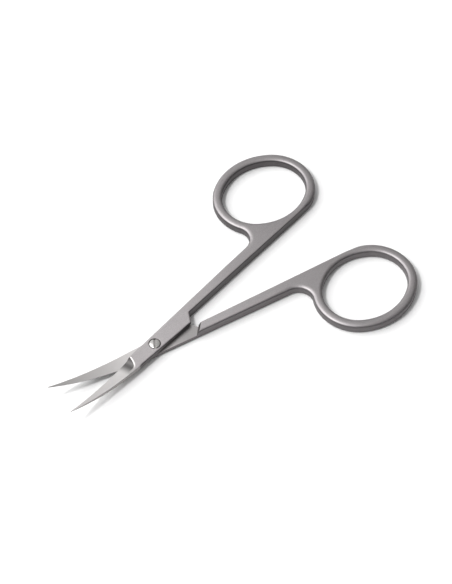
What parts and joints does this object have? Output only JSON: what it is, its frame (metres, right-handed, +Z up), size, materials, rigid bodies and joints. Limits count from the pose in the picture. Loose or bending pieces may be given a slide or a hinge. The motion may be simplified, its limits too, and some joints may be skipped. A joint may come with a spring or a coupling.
{
  "type": "curved cuticle scissors",
  "caption": "Small steel scissors with slender blades that curve upward, straight shanks and oval finger rings, turning on a slotted pivot screw.",
  "frame": {"origin": "on the pivot axis, in the plane that the rings and shanks rest on", "axes": "+X from the pivot towards the finger rings, +Y towards the ring of the upper half, +Z up along the pivot axis"},
  "size_m": [0.0875, 0.0584, 0.0057],
  "materials": {
    "top_half_steel": "satin",
    "bottom_half_steel": "satin",
    "screw_steel": "polished"
  },
  "bodies": {
    "lower": {"bottom_half": "bottom_half_steel", "pivot_screw": "screw_steel"},
    "upper": {"top_half": "top_half_steel"}
  },
  "joints": [
    {"name": "pivot", "type": "hinge", "parent": "lower", "child": "upper", "pos_m": [0, 0, 0], "axis": [0, 0, 1], "range_deg": [-17.5, 42.5]}
  ]
}
